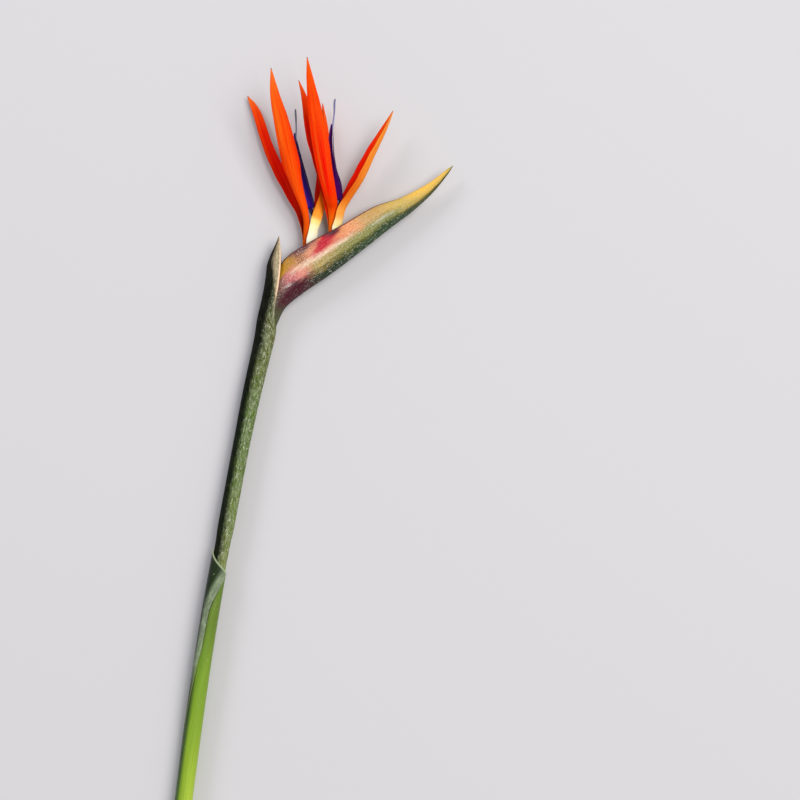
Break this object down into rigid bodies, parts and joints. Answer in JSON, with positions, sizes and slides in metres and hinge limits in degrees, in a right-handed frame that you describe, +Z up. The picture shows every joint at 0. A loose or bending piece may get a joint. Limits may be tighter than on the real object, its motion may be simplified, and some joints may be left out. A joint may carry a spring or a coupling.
{
  "type": "bird of paradise flower",
  "caption": "Cut bird of paradise flower lying on its side: sheathed stem, boat-shaped spathe, orange sepals and blue arrow-shaped petals.",
  "frame": {"origin": "under the middle of the flower's box, on the surface that it lies on", "axes": "+Y along the stem from the cut end to the head, +X towards the side that the spathe points to, +Z up from the surface"},
  "size_m": [0.1948, 0.5974, 0.0387],
  "materials": {
    "stem": "satin",
    "lower_sheath": "satin",
    "upper_bract": "matte",
    "spathe": "satin",
    "sepal": "satin",
    "arrow": "satin",
    "style": "satin",
    "stamens": "matte",
    "ovary": "satin",
    "bud": "satin"
  },
  "bodies": {
    "root": {"stem": "stem", "lower_sheath": "lower_sheath", "upper_bract": "upper_bract", "spathe": "spathe", "floret_1_ovary": "ovary", "floret_2_ovary": "ovary", "floret_1_sepal_under": "sepal", "floret_1_sepal_over": "sepal", "floret_1_sepal_keel": "sepal", "floret_2_sepal_under": "sepal", "floret_2_sepal_over": "sepal", "floret_2_sepal_keel": "sepal", "floret_1_arrow": "arrow", "floret_2_arrow": "arrow", "floret_1_nectary_petal": "arrow", "floret_2_nectary_petal": "arrow", "floret_1_stamens": "stamens", "floret_2_stamens": "stamens", "floret_1_style": "style", "floret_2_style": "style", "bud_3": "bud", "bud_4": "bud", "bud_5": "bud"}
  },
  "joints": []
}
